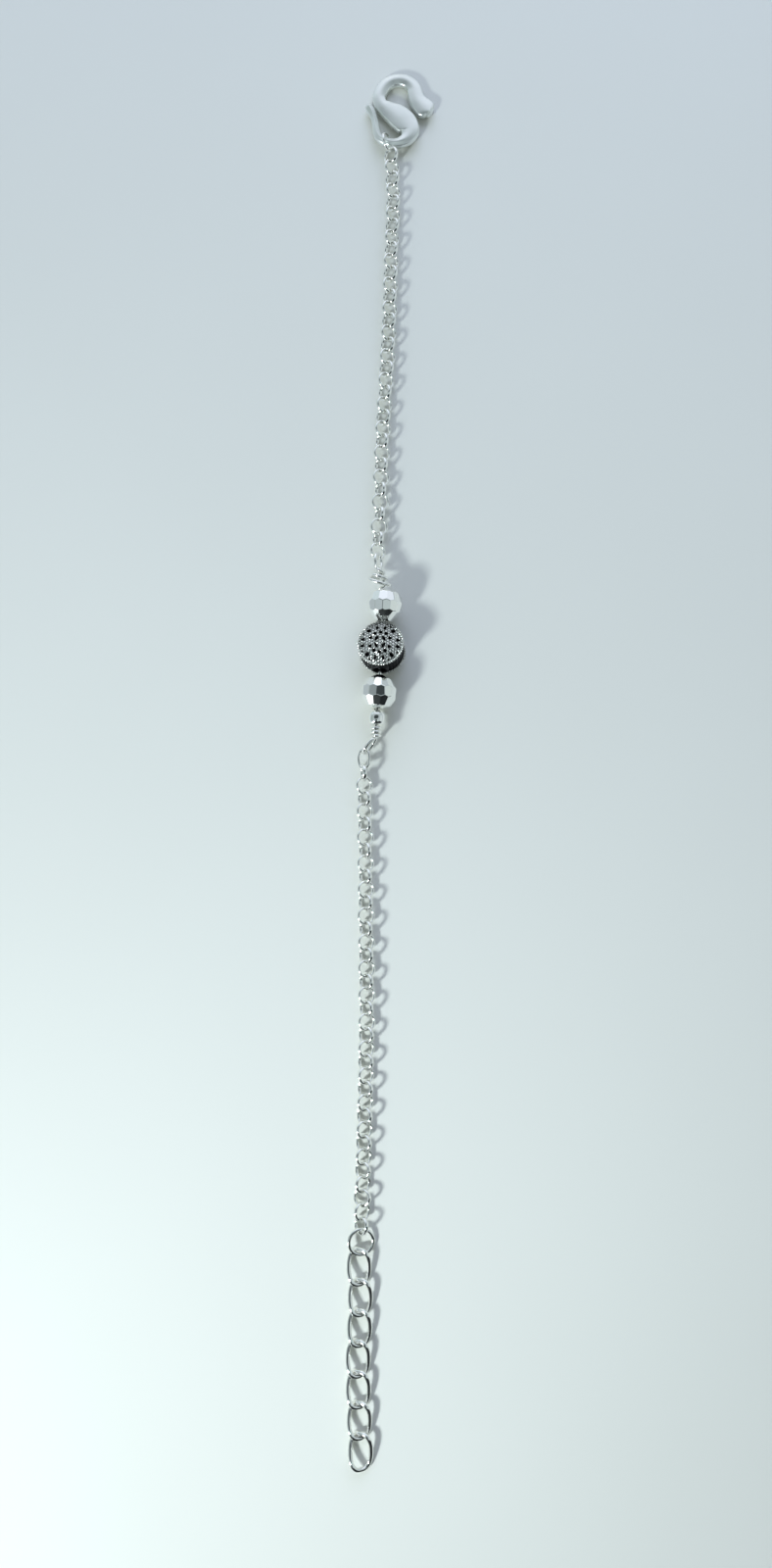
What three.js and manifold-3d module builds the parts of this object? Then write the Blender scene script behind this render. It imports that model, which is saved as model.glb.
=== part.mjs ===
// A silver rakhi, laid open and straight: an S-hook clasp, a fine rolo chain, three beads and a
// spacer on one wire, a second rolo chain, a jump ring and a short curb extension chain.
// Millimetres. +Y runs along the bracelet towards the hook, +Z is up, and it rests on z = 0.

import * as THREE from 'three';
import { ConvexGeometry } from 'three/addons/geometries/ConvexGeometry.js';
import { ConvexHull } from 'three/addons/math/ConvexHull.js';
import { mergeVertices } from 'three/addons/utils/BufferGeometryUtils.js';
import Module from 'manifold-3d';

// ---- driving dimensions ----

const HOOK_THICKNESS = 1.05;
const HOOK_CHAMFER = 0.25;
const HOOK_TILT = 3.4;             // degrees: the end on the chain is lifted by the link under it
const HOOK_PLACE = [2.1, 100.2];   // x, y of the hook's own centre

const HOOK_LINK = { across: 3.3, wire: 0.45, place: [0.3, 94.4], heading: 10, lean: 30 };

const CHAIN_WIDTH = 2.8;           // the envelope of a rolo chain, across its flats
const CHAIN_STEP = 7;

// The two cut balls: the radius to the middle of a facet, the rows of facets as latitudes about the
// wire, and the place along the wire from the medallion.
const BALL_FACETS = 14;            // round each row
const BALL_BORE = 0.5;
const UPPER_BALL = { radius: 2.62, rows: [-46, -14, 18, 50], at: 6.72 };
const LOWER_BALL = { radius: 2.7, rows: [-64, -32, 0, 32, 64], at: -6.85 };

const COIN_RIM = 3.5;              // radius of the two rims of the medallion
const COIN_RIM_HEIGHT = 1.75;      // of each rim above and below the middle
const COIN_CROWN = 2.6;            // of the top of each dome above and below the middle
const COIN_ROLL = 7;               // degrees about the wire
const COIN_PITCH = 10.5;           // degrees about the line across the wire
const COIN_COLLAR = { radius: 1.36, reach: 3.65 };
const COIN_BORE = 1.03;

const SPACER = { radius: 1.3, endRadius: 0.98, half: 1.0, bandHalf: 0.45, bore: 0.5, at: -10.74 };

const BEAD_WIRE = 0.55;
const RUN_PLACE = [-0.68, 12.7];   // x, y of the medallion's centre
const RUN_TURN = -3.93;            // degrees that the wire is turned from +Y
const RUN_HEIGHT = LOWER_BALL.radius / Math.cos(Math.PI / BALL_FACETS);

const OVAL_LINK = { width: 2.2, length: 3.4, wire: 0.4, place: [-3.32, -4.02, 1.85], lean: -22 };
const JUMP_RING = { across: 4.2, wire: 0.52, place: [-3.65, -74.88, 0.9], lean: 14, tilt: 4 };
const EXTENSION = { width: 3.7, length: 5.67, wire: 0.6, pitch: 4.28, firstAt: -78.45, twist: 40 };
const EXTENSION_SIDEWAYS = [-3.95, -3.75, -3.85, -4.05, -4.0, -3.85, -3.65];

const SILVER = { color: 0xd9dedf, roughness: 0.18, metalness: 1 };
const SATIN_SILVER = { color: 0xcdd4d4, roughness: 0.35, metalness: 1 };
const OXIDISED_SILVER = { color: 0x8d8f8c, roughness: 0.4, metalness: 1 };

// How finely round things are made.
const WIRE_SIDES = 8;
const RING_STEPS = 20;
const LINK_STEPS = 22;
const END_STEPS = 56;              // along each end of the bead wire
const BORE_SIDES = 14;
const COIN_SIDES = 32;
const SPACER_SIDES = 20;

// ---- helpers ----

const wasm = await Module();
wasm.setup();

const radians = THREE.MathUtils.degToRad;

function toSolid(geometry) {
  const bare = geometry.clone();
  bare.deleteAttribute('normal');
  bare.deleteAttribute('uv');
  const merged = mergeVertices(bare, 1e-4);
  return new wasm.Manifold(new wasm.Mesh({
    numProp: 3,
    vertProperties: merged.attributes.position.array,
    triVerts: Uint32Array.from(merged.index.array),
  }));
}

function toGeometry(solid) {
  const { vertProperties, triVerts } = solid.getMesh();
  const geometry = new THREE.BufferGeometry();
  geometry.setAttribute('position', new THREE.BufferAttribute(vertProperties, 3));
  geometry.setIndex(new THREE.BufferAttribute(triVerts, 1));
  return geometry;
}

function piece(name, geometry, finish) {
  const mesh = new THREE.Mesh(geometry, new THREE.MeshStandardMaterial(finish));
  mesh.name = name;
  return mesh;
}

// Moves an object straight up or down until it rests on the surface.
function settle(object) {
  object.updateMatrixWorld(true);
  object.position.z -= new THREE.Box3().setFromObject(object, true).min.z;
  return object;
}

// The round section of a wire, two of its sides level.
function sectionOf(width) {
  const corner = width / 2 / Math.cos(Math.PI / WIRE_SIDES);
  const shape = new THREE.Shape();
  for (let i = 0; i < WIRE_SIDES; i++) {
    const angle = (2 * Math.PI * (i + 0.5)) / WIRE_SIDES;
    shape[i ? 'lineTo' : 'moveTo'](corner * Math.cos(angle), corner * Math.sin(angle));
  }
  shape.closePath();
  return shape;
}

// A bar of round section along a curve, with flat ends.
function rod(curve, width, steps) {
  return new THREE.ExtrudeGeometry(sectionOf(width), { steps, extrudePath: curve });
}

// An oval loop of wire in the XY plane, long along Y, turned about Y by -twist at its low end and
// by +twist at its high end.
class LinkCurve extends THREE.Curve {
  constructor({ width, length, wire, twist = 0 }) {
    super();
    this.halfWidth = (width - wire) / 2;
    this.halfLength = (length - wire) / 2;
    this.twist = radians(twist);
  }

  getPoint(t, target = new THREE.Vector3()) {
    const angle = 2 * Math.PI * t;
    const x = this.halfWidth * Math.cos(angle);
    const y = this.halfLength * Math.sin(angle);
    const turn = (this.twist * y) / this.halfLength;
    return target.set(x * Math.cos(turn), y, x * Math.sin(turn));
  }
}

function closedLink(size) {
  return new THREE.TubeGeometry(new LinkCurve(size), LINK_STEPS, size.wire / 2, WIRE_SIDES, true);
}

// ---- S-hook ----

// The middle line of the band and its width, from the upper tip round to the lower tip.
const HOOK_SECTIONS = [
  { x: 4.8, y: -0.45, width: 1.3 },
  { x: 4.62, y: -0.25, width: 2.6 },
  { x: 4.25, y: 0.15, width: 3.2 },
  { x: 3.65, y: 0.8, width: 3.05 },
  { x: 2.95, y: 1.7, width: 2.7 },
  { x: 2.6, y: 2.75, width: 2.5 },
  { x: 2.35, y: 3.9, width: 2.3 },
  { x: 1.45, y: 4.95, width: 2.1 },
  { x: -0.1, y: 5.35, width: 2.0 },
  { x: -1.65, y: 4.85, width: 2.0 },
  { x: -2.75, y: 3.6, width: 2.05 },
  { x: -3.2, y: 2.2, width: 2.05 },
  { x: -2.85, y: 1.0, width: 2.2 },
  { x: -1.9, y: 0.15, width: 2.9 },
  { x: -0.4, y: -0.9, width: 3.8 },
  { x: 0.9, y: -2.15, width: 3.9 },
  { x: 1.65, y: -3.65, width: 3.1 },
  { x: 1.1, y: -5.0, width: 2.1 },
  { x: -0.2, y: -5.7, width: 1.5 },
  { x: -1.8, y: -5.65, width: 1.3 },
  { x: -3.1, y: -4.95, width: 1.2 },
  { x: -3.7, y: -3.4, width: 1.15 },
  { x: -3.9, y: -1.95, width: 1.05 },
  { x: -4.15, y: -0.95, width: 1.05 },
  { x: -4.5, y: -0.1, width: 1.25 },
  { x: -4.85, y: 0.5, width: 1.2 },
];
const HOOK_STEPS = 52;
const HOOK_LEAST_STEP = 0.12;

// One edge of the band, at half its width to one side. Points on the inside of a tight bend that
// would run backwards are left out.
function hookEdge(middle, side) {
  const edge = [];
  for (let i = 0; i <= HOOK_STEPS; i++) {
    const { x, y, z: width } = middle.getPoint(i / HOOK_STEPS);
    const { x: alongX, y: alongY } = middle.getTangent(i / HOOK_STEPS).setZ(0).normalize();
    const point = new THREE.Vector2(x - (side * alongY * width) / 2, y + (side * alongX * width) / 2);
    const last = edge.at(-1);
    if (!last || (point.x - last.x) * alongX + (point.y - last.y) * alongY > HOOK_LEAST_STEP) {
      edge.push(point);
    }
  }
  return edge;
}

function hookGeometry() {
  const middle = new THREE.CatmullRomCurve3(
    HOOK_SECTIONS.map(({ x, y, width }) => new THREE.Vector3(x, y, width)),
  );
  const outline = [...hookEdge(middle, 1), ...hookEdge(middle, -1).reverse()];
  return new THREE.ExtrudeGeometry(new THREE.Shape(outline), {
    depth: HOOK_THICKNESS - 2 * HOOK_CHAMFER,
    bevelEnabled: true,
    bevelSegments: 1,
    bevelThickness: HOOK_CHAMFER,
    bevelSize: HOOK_CHAMFER,
    bevelOffset: -HOOK_CHAMFER,
  });
}

function sHook() {
  const hook = piece('s_hook', hookGeometry(), SATIN_SILVER);
  hook.position.set(HOOK_PLACE[0], HOOK_PLACE[1], 0);
  hook.rotation.x = -radians(HOOK_TILT);
  return settle(hook);
}

// ---- rings and links ----

function ring({ across, wire }) {
  return new THREE.TorusGeometry((across - wire) / 2, wire / 2, WIRE_SIDES, RING_STEPS);
}

// Puts a ring in its place, its right side lowered by `lean` and its +Y end raised by `tilt` degrees.
function leaning(loop, { place, lean, tilt = 0 }) {
  loop.position.set(...place);
  loop.rotation.set(radians(tilt), radians(lean), 0);
  return loop;
}

// The link on the hook leans over: it runs under the band on one side and over it on the other.
function hookLink() {
  const link = piece('hook_link', ring(HOOK_LINK), SILVER);
  link.rotation.order = 'ZYX';
  link.rotation.set(0, radians(90 - HOOK_LINK.lean), radians(HOOK_LINK.heading));
  link.position.set(HOOK_LINK.place[0], HOOK_LINK.place[1], 0);
  return settle(link);
}

function ovalLink() {
  return leaning(piece('oval_link', closedLink(OVAL_LINK), SILVER), OVAL_LINK);
}

function jumpRing() {
  return leaning(piece('jump_ring', ring(JUMP_RING), SILVER), JUMP_RING);
}

function extensionLinks() {
  const geometry = closedLink(EXTENSION);
  return EXTENSION_SIDEWAYS.map((x, i) => {
    const link = piece(`extension_link_${i + 1}`, geometry, SILVER);
    link.position.set(x, EXTENSION.firstAt - i * EXTENSION.pitch, 0);
    return settle(link);
  });
}

// ---- rolo chains ----

// The middle line of each chain, as x and y. Both chains lie on the surface from end to end.
const UPPER_ROUTE = [
  [1.2, 92.45],
  [1.15, 87.0],
  [0.85, 77.6],
  [0.31, 61.5],
  [-0.6, 45.7],
  [-0.95, 34.0],
  [-1.15, 27.9],
];
const LOWER_ROUTE = [
  [-3.35, -6.05],
  [-3.2, -12.0],
  [-3.08, -22.5],
  [-2.9, -44.2],
  [-3.4, -65.5],
  [-3.7, -72.45],
];

function chain(name, route) {
  const curve = new THREE.CatmullRomCurve3(
    route.map(([x, y]) => new THREE.Vector3(x, y, CHAIN_WIDTH / 2)),
  );
  const steps = Math.round(curve.getLength() / CHAIN_STEP);
  return piece(name, rod(curve, CHAIN_WIDTH, steps), SILVER);
}

// ---- beads, each about its own centre with the wire along Y ----

// A bar of the given radius along Y through the origin.
function barAlongY(radius, length) {
  return toSolid(new THREE.CylinderGeometry(radius, radius, length, BORE_SIDES));
}

// A ball cut by flat facets in rows round Y. Each facet of a row sits over the joint between two of
// the next row, and a flat at each pole takes the bore. The corners are where three flats meet.
function facetedBallGeometry({ radius, rows }) {
  const up = new THREE.Vector3(0, 1, 0);
  const flats = [up.clone(), up.clone().negate()];
  rows.forEach((latitude, row) => {
    for (let i = 0; i < BALL_FACETS; i++) {
      const turn = (2 * Math.PI * (i + ((row + 1) % 2) / 2)) / BALL_FACETS;
      flats.push(new THREE.Vector3().setFromSphericalCoords(1, radians(90 - latitude), turn));
    }
  });
  const hull = new ConvexHull().setFromPoints(flats);
  const corners = hull.faces.map(
    ({ normal, constant }) => normal.clone().multiplyScalar(radius / constant),
  );
  const ball = toSolid(new ConvexGeometry(corners));
  return toGeometry(ball.subtract(barAlongY(BALL_BORE, 3 * radius)));
}

// The medallion's outline from the middle of its upper face out to its waist, as radius and height.
const COIN_OUTLINE = [
  [0, COIN_CROWN],
  [1.2, COIN_CROWN - 0.12],
  [2.3, COIN_CROWN - 0.42],
  [COIN_RIM - 0.5, COIN_RIM_HEIGHT + 0.1],
  [COIN_RIM - 0.22, COIN_RIM_HEIGHT + 0.22],
  [COIN_RIM, COIN_RIM_HEIGHT],
  [COIN_RIM - 0.15, COIN_RIM_HEIGHT - 0.25],
  [COIN_RIM - 0.1, 0.45],
  [COIN_RIM + 0.05, 0.15],
];

// A puffed coin about Z, rimmed on both faces, with a collar at each end of its bore.
function medallionGeometry() {
  const above = COIN_OUTLINE.map(([radius, height]) => new THREE.Vector2(radius, height));
  const below = COIN_OUTLINE.map(([radius, height]) => new THREE.Vector2(radius, -height));
  const coin = toSolid(new THREE.LatheGeometry([...below, ...above.reverse()], COIN_SIDES));
  const collars = barAlongY(COIN_COLLAR.radius, 2 * COIN_COLLAR.reach);
  const bore = barAlongY(COIN_BORE, 3 * COIN_COLLAR.reach);
  return toGeometry(coin.rotate([90, 0, 0]).add(collars).subtract(bore));
}

function spacerGeometry() {
  const { radius, endRadius, half, bandHalf, bore } = SPACER;
  const outline = [
    [bore, -half],
    [endRadius, -half],
    [radius, -bandHalf],
    [radius, bandHalf],
    [endRadius, half],
    [bore, half],
    [bore, -half],
  ];
  return new THREE.LatheGeometry(outline.map((point) => new THREE.Vector2(...point)), SPACER_SIDES);
}

// ---- the wire through the beads, about the medallion's centre with the wire along Y ----

const STEM = { from: -13.5, to: 9.3 };     // the straight stretch, through every bead
const LOOP_SLOPE = 60;                     // degrees that each loop leans over sideways
const WRAP_STEPS = 9;                      // points in one turn of wire

// A drop-shaped loop of the wire, as distance out from where it starts and distance across.
const LOOP_OUTLINE = [
  [0, 0],
  [0.8, -0.45],
  [1.9, -0.62],
  [2.75, -0.25],
  [2.95, 0.31],
  [2.75, 0.87],
  [1.9, 1.24],
  [0.8, 1.07],
  [0, 0.62],
];

function loopPoints(start, towards, slope, size = 1) {
  const long = new THREE.Vector3(...towards).normalize();
  const across = new THREE.Vector3(-long.y, long.x, 0).normalize().applyAxisAngle(long, radians(slope));
  return LOOP_OUTLINE.map(([far, wide]) => new THREE.Vector3(...start)
    .addScaledVector(long, far * size)
    .addScaledVector(across, wide));
}

// Turns of wire round the stem. The middle of the turns, as x and y, and their two radii, across and
// up, change evenly from the first turn to the last. By the last turn they have come to lean: the
// right side and the top are nearer the bead by these shares of their distance from the middle.
function wrapPoints({ from, to, turns, leanAcross = 0, leanUp = 0 }) {
  const count = Math.round(turns * WRAP_STEPS);
  return Array.from({ length: count + 1 }, (_, i) => {
    const part = i / count;
    const angle = 2 * Math.PI * turns * part;
    const [x, y, across, high] = from.map((value, k) => THREE.MathUtils.lerp(value, to[k], part));
    const sideways = across * Math.sin(angle);
    const up = high * Math.cos(angle);
    return new THREE.Vector3(x + sideways, y - part * (leanAcross * sideways + leanUp * up), up);
  });
}

function lowerEnd() {
  const turns = { from: [0, -13.45, 0.65, 0.65], to: [0, -12.1, 0.65, 0.65], turns: 2.3 };
  return new THREE.CatmullRomCurve3([
    new THREE.Vector3(0, -12.9, 0),
    ...loopPoints([0, -13.5, 0], [-1.76, -2.64, -0.87], -LOOP_SLOPE, 1.05),
    ...wrapPoints(turns),
  ]);
}

function upperEnd() {
  const turns = {
    from: [-1.2, 11.85, 0.55, 0.55],
    to: [-1.05, 10.35, 1.52, 0.95],
    turns: 2.25,
    leanAcross: 0.4,
    leanUp: 0.3,
  };
  return new THREE.CatmullRomCurve3([
    new THREE.Vector3(0, 8.7, 0),
    new THREE.Vector3(0, 9.3, 0),
    new THREE.Vector3(-0.35, 10.2, 0),
    new THREE.Vector3(-0.9, 11.2, -0.05),
    ...loopPoints([-1.2, 12.0, -0.1], [-0.1, 2.4, -0.5], LOOP_SLOPE, 0.85),
    ...wrapPoints(turns),
  ]);
}

function beadWireGeometry() {
  const stem = barAlongY(BEAD_WIRE / 2, STEM.to - STEM.from);
  const ends = [lowerEnd(), upperEnd()].map((curve) => toSolid(rod(curve, BEAD_WIRE, END_STEPS)));
  return toGeometry(
    stem.translate([0, (STEM.to + STEM.from) / 2, 0]).add(ends[0]).add(ends[1]),
  );
}

// ---- the beads on their wire ----

function beadRun() {
  const run = new THREE.Group();
  const thread = (name, geometry, at, finish = SILVER) => {
    const bead = piece(name, geometry, finish);
    bead.position.y = at;
    run.add(bead);
    return bead;
  };
  thread('upper_faceted_ball', facetedBallGeometry(UPPER_BALL), UPPER_BALL.at);
  thread('lower_faceted_ball', facetedBallGeometry(LOWER_BALL), LOWER_BALL.at);
  thread('spacer_bead', spacerGeometry(), SPACER.at);
  thread('bead_wire', beadWireGeometry(), 0);
  const medallion = thread('filigree_medallion', medallionGeometry(), 0, OXIDISED_SILVER);
  medallion.rotation.set(-radians(COIN_PITCH), -radians(COIN_ROLL), 0);
  run.position.set(RUN_PLACE[0], RUN_PLACE[1], RUN_HEIGHT);
  run.rotation.z = radians(RUN_TURN);
  return run;
}

// ---- the whole rakhi, its origin on the surface under the middle of its length and width ----

const rakhi = new THREE.Group();
rakhi.add(
  sHook(),
  hookLink(),
  chain('upper_chain', UPPER_ROUTE),
  beadRun(),
  ovalLink(),
  chain('lower_chain', LOWER_ROUTE),
  jumpRing(),
  ...extensionLinks(),
);
rakhi.updateMatrixWorld(true);
const extent = new THREE.Box3().setFromObject(rakhi, true);
rakhi.position.set(
  -(extent.min.x + extent.max.x) / 2,
  -(extent.min.y + extent.max.y) / 2,
  -extent.min.z,
);

export default rakhi;
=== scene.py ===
"""A silver rakhi lying open on a pale table: an S-hook, two rolo chains, faceted balls, a filigree
medallion and a spacer on a wire, a jump ring and a curb extension chain.

Shapes are worked out in millimetres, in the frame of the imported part, and stored in metres.
"""

import bpy
import numpy as np
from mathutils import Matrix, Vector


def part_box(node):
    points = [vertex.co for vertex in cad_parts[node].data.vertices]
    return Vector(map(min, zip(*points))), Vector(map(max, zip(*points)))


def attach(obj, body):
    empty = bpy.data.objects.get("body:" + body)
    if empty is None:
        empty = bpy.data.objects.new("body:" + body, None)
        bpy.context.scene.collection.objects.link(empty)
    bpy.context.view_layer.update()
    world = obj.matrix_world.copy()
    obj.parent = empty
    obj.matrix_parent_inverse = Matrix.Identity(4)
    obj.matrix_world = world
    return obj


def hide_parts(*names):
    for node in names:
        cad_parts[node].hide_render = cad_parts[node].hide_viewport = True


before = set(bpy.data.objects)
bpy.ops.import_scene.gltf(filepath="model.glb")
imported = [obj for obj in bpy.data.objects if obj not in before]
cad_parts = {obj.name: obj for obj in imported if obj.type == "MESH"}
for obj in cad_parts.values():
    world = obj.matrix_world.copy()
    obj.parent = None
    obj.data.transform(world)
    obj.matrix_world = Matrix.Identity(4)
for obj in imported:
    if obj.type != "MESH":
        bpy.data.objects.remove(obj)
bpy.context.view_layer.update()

MM = 0.001
TAU = 2 * np.pi


# ---- places read from the frame ----

def corners(node):
    """Lowest and highest corner of a node, in millimetres."""
    low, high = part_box(node)
    return np.array(low) / MM, np.array(high) / MM


def middle(node):
    """Middle of a node's box, in millimetres."""
    low, high = corners(node)
    return (low + high) / 2


ON_TABLE = 0.01                 # a corner lower than this over the lowest one lies on the table
SECTION_GAP = 1                 # least distance in y from one section of a bar to the next


def centre_line(node):
    """Middle line of a straight-lying bar. Its corners on the table come in one pair for each
    section, so the mean of each pair is a point of the line. Runs from the -Y end to the +Y end."""
    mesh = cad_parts[node].data
    spots = np.empty(3 * len(mesh.vertices))
    mesh.vertices.foreach_get("co", spots)
    spots = spots.reshape(-1, 3) / MM
    level = spots[spots[:, 2] < spots[:, 2].min() + ON_TABLE]
    level = level[np.argsort(level[:, 1])]
    section = np.concatenate([[0], np.cumsum(np.diff(level[:, 1]) > SECTION_GAP)])
    count = np.bincount(section)
    return np.stack([np.bincount(section, level[:, k]) / count for k in range(2)], axis=1)


# ---- curves and surfaces ----

def unit(vectors):
    """Vectors of length one."""
    return vectors / np.linalg.norm(vectors, axis=-1, keepdims=True)


def smooth_curve(points, count):
    """A curve through the points, evenly stepped. Between two points it is the cubic that leaves
    and arrives with the slope of the parabola through each point and its two neighbours."""
    points = np.asarray(points, float)
    knots = np.concatenate([[0], np.cumsum(np.linalg.norm(np.diff(points, axis=0), axis=1))])
    slopes = np.gradient(points, knots, axis=0)
    at = np.linspace(0, knots[-1], count)
    i = np.clip(np.searchsorted(knots, at, side="right") - 1, 0, len(knots) - 2)
    gap = (knots[i + 1] - knots[i])[:, None]
    t = (at - knots[i])[:, None] / gap
    return ((1 + 2 * t) * (1 - t) ** 2 * points[i] + t * (1 - t) ** 2 * gap * slopes[i]
            + t ** 2 * (3 - 2 * t) * points[i + 1] - t ** 2 * (1 - t) * gap * slopes[i + 1])


def skin_faces(rows, columns, closed=False):
    """Four-sided faces of a grid that wraps round in its columns. A closed grid wraps round in its
    rows too, and an open one gets one face over each end."""
    i = np.arange(rows if closed else rows - 1)[:, None]
    j = np.arange(columns)[None, :]
    i2, j2 = (i + 1) % rows, (j + 1) % columns
    faces = np.stack([i * columns + j, i * columns + j2, i2 * columns + j2, i2 * columns + j], axis=-1)
    faces = faces.reshape(-1, 4).tolist()
    if not closed:
        last = (rows - 1) * columns
        faces += [list(range(columns))[::-1], [last + k for k in range(columns)]]
    return faces


DIRECTIONS_TRIED = 60
GOLDEN_TURN = 2.39996           # radians; steps of it down a ball spread directions evenly over it


def steady_normal(tangents):
    """A direction across the path at every step: one fixed direction, as far from the tangents as
    any of a few dozen tried, less its part along each tangent."""
    k = np.arange(DIRECTIONS_TRIED) + 0.5
    height, turn = 1 - 2 * k / DIRECTIONS_TRIED, GOLDEN_TURN * k
    flat = np.sqrt(1 - height ** 2)
    tried = np.stack([flat * np.cos(turn), flat * np.sin(turn), height], axis=1)
    best = tried[np.abs(tried @ tangents.T).max(axis=1).argmin()]
    return unit(best - (tangents @ best)[:, None] * tangents)


WIRE_DOME = np.radians([89, 70, 45, 22])    # where the rings of a wire's end stand, from its tip


def tube(path, radius, sides, closed=False):
    """Round wire along a path: at each step the path's point plus a circle of the wire's radius,
    set square to the path. An open wire ends in a dome, by rings that shrink as a quarter circle."""
    radii = np.full(len(path), radius)
    if closed:
        tangents = unit(np.roll(path, -1, axis=0) - np.roll(path, 1, axis=0))
    else:
        reach, narrow = radius * np.sin(WIRE_DOME), radius * np.cos(WIRE_DOME)
        start, end = unit(path[0] - path[1]), unit(path[-1] - path[-2])
        path = np.concatenate([path[0] + reach[:, None] * start, path,
                               path[-1] + reach[::-1, None] * end])
        radii = np.concatenate([narrow, radii, narrow[::-1]])
        tangents = unit(np.gradient(path, axis=0))
    across = steady_normal(tangents)
    up = np.cross(tangents, across)
    turn = TAU * np.arange(sides) / sides
    circle = (np.cos(turn)[None, :, None] * across[:, None] + np.sin(turn)[None, :, None] * up[:, None])
    spots = path[:, None] + radii[:, None, None] * circle
    return spots.reshape(-1, 3), skin_faces(len(path), sides, closed)


def lathe(outline, sides, closed=False):
    """An outline of radius and height turned about the Z axis. A closed outline makes a ring, and
    an open one starts and ends in a small flat on the axis."""
    radius, height = np.asarray(outline, float).T
    turn = TAU * np.arange(sides) / sides
    spots = np.stack([radius[:, None] * np.cos(turn), radius[:, None] * np.sin(turn),
                      np.repeat(height[:, None], sides, axis=1)], axis=-1)
    return spots.reshape(-1, 3), skin_faces(len(radius), sides, closed)


def turned(axis, degrees):
    """Matrix that turns a row of coordinates about X, Y or Z by the right-hand rule."""
    c, s = np.cos(np.radians(degrees)), np.sin(np.radians(degrees))
    a, b = {"X": (1, 2), "Y": (2, 0), "Z": (0, 1)}[axis]
    matrix = np.eye(3)
    matrix[a, a] = matrix[b, b] = c
    matrix[a, b], matrix[b, a] = -s, s
    return matrix


OVAL_STEPS = 72                 # round the middle line of a wire link


def oval_path(width, length, wire, twist, fullness):
    """Middle line of a link: an oval in the XY plane, its points turned about Y by an angle that
    grows from -twist at its low end to +twist at its high end. A fullness over 2 squares it."""
    angle = TAU * np.arange(OVAL_STEPS) / OVAL_STEPS
    c, s = np.cos(angle), np.sin(angle)
    swell = (np.abs(c) ** fullness + np.abs(s) ** fullness) ** (-1 / fullness)
    x = (width - wire) / 2 * c * swell
    y = (length - wire) / 2 * s * swell
    turn = np.radians(twist) * s * swell
    return np.stack([x * np.cos(turn), y, x * np.sin(turn)], axis=1)


# ---- meshes ----

def add_mesh(name, parts, material, flat=False, attributes=None):
    """One mesh object from several (points in millimetres, faces) parts, smooth unless it is flat,
    with a number for each point under each attribute's label."""
    spots, faces, first = [], [], 0
    for part_spots, part_faces in parts:
        spots.append(part_spots)
        faces += [[first + i for i in face] for face in part_faces]
        first += len(part_spots)
    mesh = bpy.data.meshes.new(name)
    mesh.from_pydata((np.concatenate(spots) * MM).tolist(), [], faces)
    for label, values in (attributes or {}).items():
        mesh.attributes.new(label, "FLOAT", "POINT").data.foreach_set("value", values)
    mesh.polygons.foreach_set("use_smooth", np.full(len(faces), not flat))
    mesh.materials.append(material)
    piece = bpy.data.objects.new(name, mesh)
    bpy.context.scene.collection.objects.link(piece)
    return piece


def seat(piece, slot, *nodes):
    """Lets a piece ride with the bracelet and stand for its CAD nodes."""
    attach(piece, "root")
    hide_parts(*nodes)


# ---- finishes ----

class Nodes:
    """Short ways to add and join shader nodes in one tree."""

    def __init__(self, tree):
        self.tree = tree

    def add(self, kind, inputs=None, **settings):
        """A new node with its settings, each input joined to the socket or set to the value given."""
        node = self.tree.nodes.new(kind)
        for key, value in settings.items():
            setattr(node, key, value)
        for key, value in (inputs or {}).items():
            if isinstance(value, bpy.types.NodeSocket):
                self.tree.links.new(value, node.inputs[key])
            else:
                node.inputs[key].default_value = value
        return node

    def math(self, operation, a, b):
        """Two values put together by a named operation."""
        return self.add("ShaderNodeMath", {0: a, 1: b}, operation=operation).outputs[0]

    def ramp(self, value, low, high):
        """Goes smoothly from 0 where the value is low to 1 where it is high."""
        return self.add("ShaderNodeMapRange", {"Value": value, "From Min": low, "From Max": high},
                        interpolation_type="SMOOTHSTEP").outputs[0]

    def mix(self, factor, a, b):
        """Colour a where the factor is 0 and colour b where it is 1."""
        return self.add("ShaderNodeMix", {0: factor, 6: a, 7: b}, data_type="RGBA").outputs[2]


def new_group(name, inputs, outputs):
    """An empty shader group with number inputs and outputs. Returns its tree, the short ways to
    add to it, and its input and output nodes."""
    tree = bpy.data.node_groups.new(name, "ShaderNodeTree")
    for label, value in inputs.items():
        socket = tree.interface.new_socket(label, in_out="INPUT", socket_type="NodeSocketFloat")
        socket.default_value = value
    for label in outputs:
        tree.interface.new_socket(label, in_out="OUTPUT", socket_type="NodeSocketFloat")
    return tree, Nodes(tree), tree.nodes.new("NodeGroupInput"), tree.nodes.new("NodeGroupOutput")


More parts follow.
